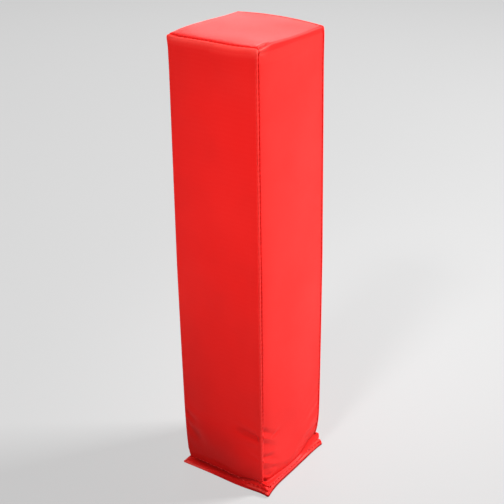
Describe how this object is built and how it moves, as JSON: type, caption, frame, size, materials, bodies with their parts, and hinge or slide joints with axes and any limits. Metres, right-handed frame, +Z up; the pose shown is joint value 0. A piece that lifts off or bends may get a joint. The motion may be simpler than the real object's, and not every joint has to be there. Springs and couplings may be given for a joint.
{
  "type": "football field pylon",
  "caption": "Upright square goal-line marker: a sewn vinyl cover with an outside foot hem over a foam block, weighted by a pouch of sand.",
  "frame": {"origin": "on the floor, under the middle of the foot", "axes": "+Z up the length of the pylon, the front panel faces -Y and the wrap panel's sides face +X and -X"},
  "size_m": [0.1172, 0.115, 0.4596],
  "materials": {
    "cover_vinyl": "satin",
    "foam": "matte",
    "pouch_cloth": "matte",
    "sand": "matte"
  },
  "bodies": {
    "root": {"wrap_panel": "cover_vinyl", "front_panel": "cover_vinyl", "back_panel": "cover_vinyl", "base_panel": "cover_vinyl", "foam_core": "foam", "pouch_lower": "pouch_cloth", "pouch_upper": "pouch_cloth", "sand_fill": "sand"}
  },
  "joints": []
}
